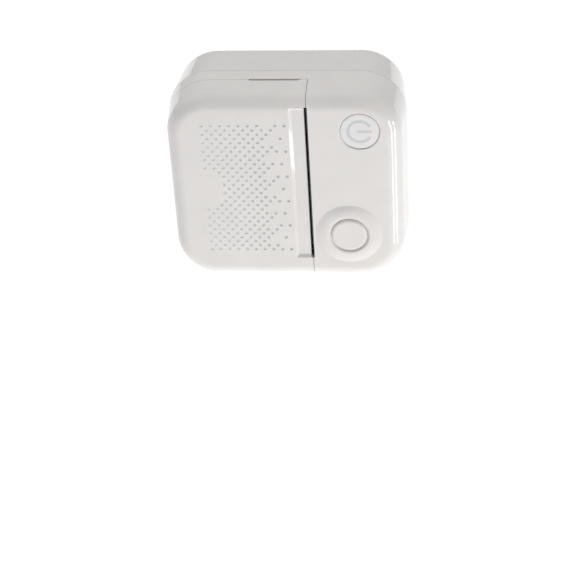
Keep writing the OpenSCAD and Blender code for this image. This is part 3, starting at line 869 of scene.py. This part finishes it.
def power_button():
    """A flush round key with a soft edge, its plate and stem behind."""
    edge = 0.28
    front = POWER_FRONT
    axis_r, plate_r, stem_r = 0.3, POWER_R + 1.1, 1.8
    plate_d, stem_end = (2.1, 3), 5.6
    profile = [(axis_r, front)] + [(k * (POWER_R - edge), front) for k in (0.3, 0.6, 0.85)]
    profile += arc((POWER_R - edge, front + edge), edge, 270, 360, 5)
    profile += [(POWER_R, plate_d[0]), (plate_r, plate_d[0]), (plate_r, plate_d[1]),
                (stem_r, plate_d[1]), (stem_r, stem_end), (axis_r, stem_end)]
    key = lathe("power_button_visual", POWER, profile)
    combine(key, "DIFFERENCE", icon("icon_cutter", -0.5, front + 0.12, 0.03))
    return dress(key, "power_key", "button_plastic", KEY_WHITE, replaces=("power_button",))


def icon(name, d0, d1, grow=0.0):
    """A broken ring and a bar, between two depths."""
    inner, outer = 3.6 - grow, 4.5 + grow
    start, stop = 30 - grow * 8, 330 + grow * 8
    ring = arc(POWER, inner, start, stop, 60) + list(reversed(arc(POWER, outer, start, stop, 60)))
    half = 0.42 + grow
    left, right = (POWER[0] - 0.6, POWER[1]), (POWER[0] + 3.9, POWER[1])
    bar = arc(left, half, 90, 270, 6) + arc(right, half, -90, 90, 6)
    parts = [solid("icon_part", [[at(x, d, z) for x, z in outline] for d in (d0, d1)])
             for outline in (ring, bar)]
    return join(name, parts)


def power_icon():
    """The grey inlay, a little below the key's top."""
    inlay = icon("power_icon_visual", POWER_FRONT + 0.025, POWER_FRONT + 0.115)
    return dress(inlay, "power_key", "icon_grey", ICON_GREY, replaces=("power_icon",))


def release_button():
    """A proud round key with a full rounded edge and a faintly dished top."""
    edge = 0.9
    front = -RELEASE_PROUD
    axis_r, plate_r, stem_r = 0.2, 8.3, 2.4
    plate_d, stem_end = (4.6, 5.4), 8
    flat = RELEASE_R - edge
    top = [(flat * k, front + 0.05 * (1 - k * k)) for k in (0.04, 0.25, 0.5, 0.75, 0.92, 1.0)]
    profile = top + arc((flat, front + edge), edge, 270, 360, 10)[1:]
    profile += [(RELEASE_R, plate_d[0]), (plate_r, plate_d[0]), (plate_r, plate_d[1]),
                (stem_r, plate_d[1]), (stem_r, stem_end), (axis_r, stem_end)]
    key = lathe("release_button_visual", RELEASE, profile)
    wedge = [(19.6, 7.9), (24.4, 7.9), (21.4, 11), (19.6, 11)]
    cam = round_edges(prism("cam", wedge, (RELEASE[1] - 2, RELEASE[1] + 2)), 0.15)
    key = join("release_button_visual", [key, cam])
    return dress(key, "release_key", "casing_plastic", SHELL, replaces=("release_button",))


def rubber_feet():
    """Four round feet with soft rims and a shallow dish."""
    edge, proud, dish = 0.25, 0.5, 0.35
    profile = [(FOOT_R - 0.1, DEPTH - 0.78), (FOOT_R, DEPTH - 0.7), (FOOT_R, DEPTH + proud - edge)]
    profile += arc((FOOT_R - edge, DEPTH + proud - edge), edge, 0, 90, 4)[1:]
    profile += [(FOOT_R - 1.2, DEPTH + proud), (FOOT_R - 1.4, DEPTH + dish), (0.3, DEPTH + dish)]
    feet = [lathe("foot", p, profile, 48) for p in FEET]
    return dress(join("rubber_feet_visual", feet), "casing", "foot_rubber",
                 MATERIALS["foot_rubber"], replaces=("rubber_feet",))


def usb_tongue():
    """The contact blade inside the charging socket."""
    x, d = USB
    blade = box("usb_tongue", (x - 3.1, x + 3.1), (d - 0.35, d + 0.35), (3.0, 8.5), 0.12)
    return dress(blade, "casing", "black_plastic", BLACK)


def tear_bar():
    """The serrated steel strip under the ramp's edge."""
    back, root, tip = LID_EDGE - 1, LID_EDGE - 0.35, LID_EDGE + 0.15
    z0 = SLOT_Z[0] + TOOTH_MARGIN
    z1 = z0 + TEETH * TOOTH_PITCH
    outline = [(back, z0)]
    for i in range(TEETH):
        outline += [(root, z0 + i * TOOTH_PITCH), (tip, z0 + (i + 0.5) * TOOTH_PITCH)]
    outline += [(root, z1), (back, z1)]
    bar = solid("tear_bar_visual", [[at(x, d, z) for x, z in outline] for d in (WALL + 0.02, WALL + 0.42)])
    round_edges(bar, 0.05, 1, 50)
    return dress(bar, "lid", "steel", MATERIALS["steel"], replaces=("tear_bar",))


def coil(x, d, z, r, wire, turns):
    """One spring along x, wound from round wire."""
    sides, steps = 8, 20 * turns
    rings = []
    for i in range(steps + 1):
        a = 2 * math.pi * turns * i / steps
        middle = x[0] + wire + (x[1] - x[0] - 2 * wire) * i / steps
        ring = []
        for j in range(sides):
            b = 2 * math.pi * j / sides
            reach = r + wire * math.cos(b)
            ring.append(at(middle + wire * math.sin(b), d + reach * math.sin(a), z + reach * math.cos(a)))
        rings.append(ring)
    return solid("coil", rings)


def springs(node, wire, turns):
    """Springs in place of a CAD node."""
    lo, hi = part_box(node)
    half = (hi.y - lo.y) / 2 / MM
    x = (lo.x / MM, hi.x / MM)
    d = ((lo.y + hi.y) / 2 - FACE_Y) / MM
    levels = sorted({round(lo.z / MM + half, 2), round(hi.z / MM - half, 2)})
    piece = join(f"{node}_visual", [coil(x, d, z, half - wire, wire, turns) for z in levels])
    slot = node_slots()[node]
    dress(piece, "casing", slot, MATERIALS[slot], replaces=(node,), angle=60)
    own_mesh(piece)


# ---- media --------------------------------------------------------------------------------------

def turned_tube(name, inner, outer, z, soft, steps=96):
    """A tube about the roll's axis with softened rims."""
    profile = [(inner, z[0] + soft), (inner + soft, z[0]), (outer - soft, z[0]), (outer, z[0] + soft),
               (outer, z[1] - soft), (outer - soft, z[1]), (inner + soft, z[1]), (inner, z[1] - soft)]
    sections = zip(*(circle(ROLL, r, steps) for r, _ in profile))
    rings = [[at(x, d, level) for (x, d), (_, level) in zip(section, profile)] for section in sections]
    return closed_band(name, rings)


def label_core():
    """The roll's cardboard core."""
    core = turned_tube("label_core_visual", CORE_BORE_R, CORE_R, MEDIA_Z, 0.12)
    return dress(core, "roll", "core_board", MATERIALS["core_board"], replaces=("label_core",))


def label_roll():
    """The wound liner: printed film outside, turns of paper at the ends."""
    roll = turned_tube("label_roll_visual", CORE_R + 0.02, ROLL_R, MEDIA_Z, 0.1)
    centre = at(ROLL[0], ROLL[1], 0)
    for polygon in roll.data.polygons:
        away = polygon.center - centre
        away.z = 0
        polygon.material_index = 0 if away.length > (ROLL_R - 0.3) * MM else 1
    return dress(roll, "roll", "liner_paper", MATERIALS["liner_paper"], wound_paper(),
                 replaces=("label_roll",))


PATCHES = 6
PATCH_COLOURS = [(0.20, 0.62, 0.07), (0.24, 0.74, 0.74), (0.55, 0.78, 0.90), (0.48, 0.42, 0.86)]


def label_patch(i, sweep=52, corner=2.2):
    """A thin label with rounded corners, bent round the roll."""
    z0, z1 = MEDIA_Z[0] + 2, MEDIA_Z[1] - 2
    width = math.radians(sweep) * ROLL_R
    columns = 26
    bends = [corner * (1 - math.sin(math.pi / 2 * k / 5)) for k in range(6)]
    levels = {round(u, 4) for bend in bends for u in (bend, width - bend)}
    levels = sorted(levels | {width * k / columns for k in range(columns + 1)})

    def span(u):
        inset = 0.0
        if u < corner:
            inset = corner - math.sqrt(max(0, corner ** 2 - (corner - u) ** 2))
        elif u > width - corner:
            inset = corner - math.sqrt(max(0, corner ** 2 - (u - width + corner) ** 2))
        return z0 + inset, z1 - inset

    start = 2 * math.pi * i / PATCHES
    under, over = ROLL_R - 0.01, ROLL_R + 0.1
    rings = []
    for u in levels:
        a = start + u / ROLL_R
        low, high = span(u)
        rings.append([at(ROLL[0] + r * math.cos(a), ROLL[1] + r * math.sin(a), z)
                      for r, z in ((under, low), (over, low), (over, high), (under, high))])
    return solid("patch", rings)


def label_patches():
    """The labels round the roll, each with its printed colour."""
    colours = [paper(f"label_paper_{i}", colour, rough=0.3) for i, colour in enumerate(PATCH_COLOURS)]
    pieces = [label_patch(i) for i in range(PATCHES)]
    for i, piece in enumerate(pieces):
        for polygon in piece.data.polygons:
            polygon.material_index = i % len(PATCH_COLOURS)
    patches = join("label_patches_visual", pieces)
    return dress(patches, "roll", "label_paper", *colours, replaces=("label_patches",))


# ---- CAD nodes that stay ------------------------------------------------------------------------

def node_slots():
    """The record's material slot of each CAD node."""
    return {part["node"]: part["material_slot"] for part in frame["record"]["subparts"]}


def finish_nodes():
    """Procedural materials for the CAD nodes that show."""
    slots = node_slots()
    for name, obj in frame["nodes"].items():
        if obj.hide_render:
            continue
        material = MATERIALS.get(slots.get(name), MATERIALS["grey_plastic"])
        if obj.material_slots:
            for slot in obj.material_slots:
                slot.material = material
        else:
            obj.data.materials.append(material)


# ---- stage --------------------------------------------------------------------------------------

def floor():
    """A pale floor that glows enough to meet the white background; it casts no shadow."""
    size = 3.0
    plane = add_mesh("floor", [(-size, -size, 0), (size, -size, 0), (size, size, 0), (-size, size, 0)],
                     [(0, 1, 2, 3)])
    n = Nodes("floor_white")
    cloud = n.noise(3, 2)
    n.colour(n.blend(n.spread(cloud, 0, 1), (0.30, 0.30, 0.30), (0.32, 0.32, 0.32)))
    n.glow(0.84)
    n.set(rough=0.9, specular=0.0)
    plane.data.materials.append(n.material)
    plane.visible_shadow = False


def area_light(name, place, size, strength):
    """A soft box at a place in metres that faces the printer; strength is its radiance."""
    light = bpy.data.lights.new(name, "AREA")
    light.shape = "RECTANGLE"
    light.size, light.size_y = size
    light.energy = strength * size[0] * size[1] * math.pi
    obj = bpy.data.objects.new(name, light)
    bpy.context.scene.collection.objects.link(obj)
    obj.location = place
    aim = Vector((0, 0, 0.04)) - Vector(place)
    obj.rotation_euler = aim.to_track_quat("-Z", "Y").to_euler()
    obj.visible_camera = False
    obj.visible_glossy = False


def world():
    """Even, nearly white light from all round."""
    made = bpy.data.worlds.new("studio")
    made.use_nodes = True
    background = made.node_tree.nodes["Background"]
    background.inputs["Color"].default_value = (1.0, 0.995, 0.99, 1)
    background.inputs["Strength"].default_value = 0.36
    bpy.context.scene.world = made


def glow_card(name, azimuths, reach, rise, strength):
    """A wedge-shaped card beside the front right edge, rising outwards, hidden from the camera."""
    foot = at(WIDTH / 2 - 4.5, 0.5, 0)
    points = []
    for a, distances in zip(azimuths, (reach, reversed(reach))):
        for distance in distances:
            away = Vector((math.sin(math.radians(a)), -math.cos(math.radians(a)), 0))
            point = foot + away * distance * MM
            point.z = (2 + rise * (distance - reach[0])) * MM
            points.append(point)
    card = add_mesh(name, points, [(0, 1, 2, 3)])
    n = Nodes(name)
    n.colour((0.8, 0.8, 0.8))
    n.glow(strength)
    card.data.materials.append(n.material)
    card.visible_camera = False
    card.visible_diffuse = False
    card.visible_shadow = False


def lights():
    """One soft box above, one low at the front right, and two cards for the twin highlight."""
    area_light("top_box", (0, 0.06, 0.6), (0.5, 0.4), 2.75)
    area_light("key_box", (0.43, -0.45, -0.39), (0.4, 0.4), 4.9)
    for name, azimuths in (("strip_front", (38, 46)), ("strip_side", (65, 74))):
        glow_card(name, azimuths, (20, 190), 0.3, 8.2)


# degrees, and the distance and lens in mm
CAMERA_AZIMUTH = 7.2
CAMERA_ELEVATION = 31.73
CAMERA_ROLL = -3.64
CAMERA_DISTANCE = 658.6
CAMERA_LENS = 116.04
CAMERA_PITCH = -2.99
CAMERA_YAW = -0.06


def camera():
    """The product shot's camera: from above and slightly from the right."""
    a, e, roll = (math.radians(v) for v in (CAMERA_AZIMUTH, CAMERA_ELEVATION, CAMERA_ROLL))
    back = Vector((math.sin(a) * math.cos(e), -math.cos(a) * math.cos(e), math.sin(e)))
    right = Vector((math.cos(a), math.sin(a), 0))
    up = back.cross(right)
    turned_right = math.cos(roll) * right + math.sin(roll) * up
    turned_up = -math.sin(roll) * right + math.cos(roll) * up
    matrix = Matrix((turned_right, turned_up, back)).transposed()
    matrix = matrix @ Matrix.Rotation(math.radians(CAMERA_YAW), 3, "Y")
    matrix = matrix @ Matrix.Rotation(math.radians(CAMERA_PITCH), 3, "X")
    data = bpy.data.cameras.new("camera")
    data.lens = CAMERA_LENS
    data.sensor_width = 36
    data.clip_start, data.clip_end = 0.01, 20
    obj = bpy.data.objects.new("camera", data)
    bpy.context.scene.collection.objects.link(obj)
    obj.matrix_world = Matrix.Translation(at(0, 0, MID_Z) + back * CAMERA_DISTANCE * MM) @ matrix.to_4x4()
    bpy.context.scene.camera = obj


# ---- the whole ----------------------------------------------------------------------------------

camera()
world()
floor()
lights()
bpy.context.scene.view_settings.view_transform = "Standard"

lid_cover()
front_shell()
back_shell()
power_button()
power_icon()
release_button()
rubber_feet()
usb_tongue()
tear_bar()
springs("head_springs", 0.2, 5)
springs("latch_spring", 0.15, 8)
label_core()
label_roll()
label_patches()
finish_nodes()
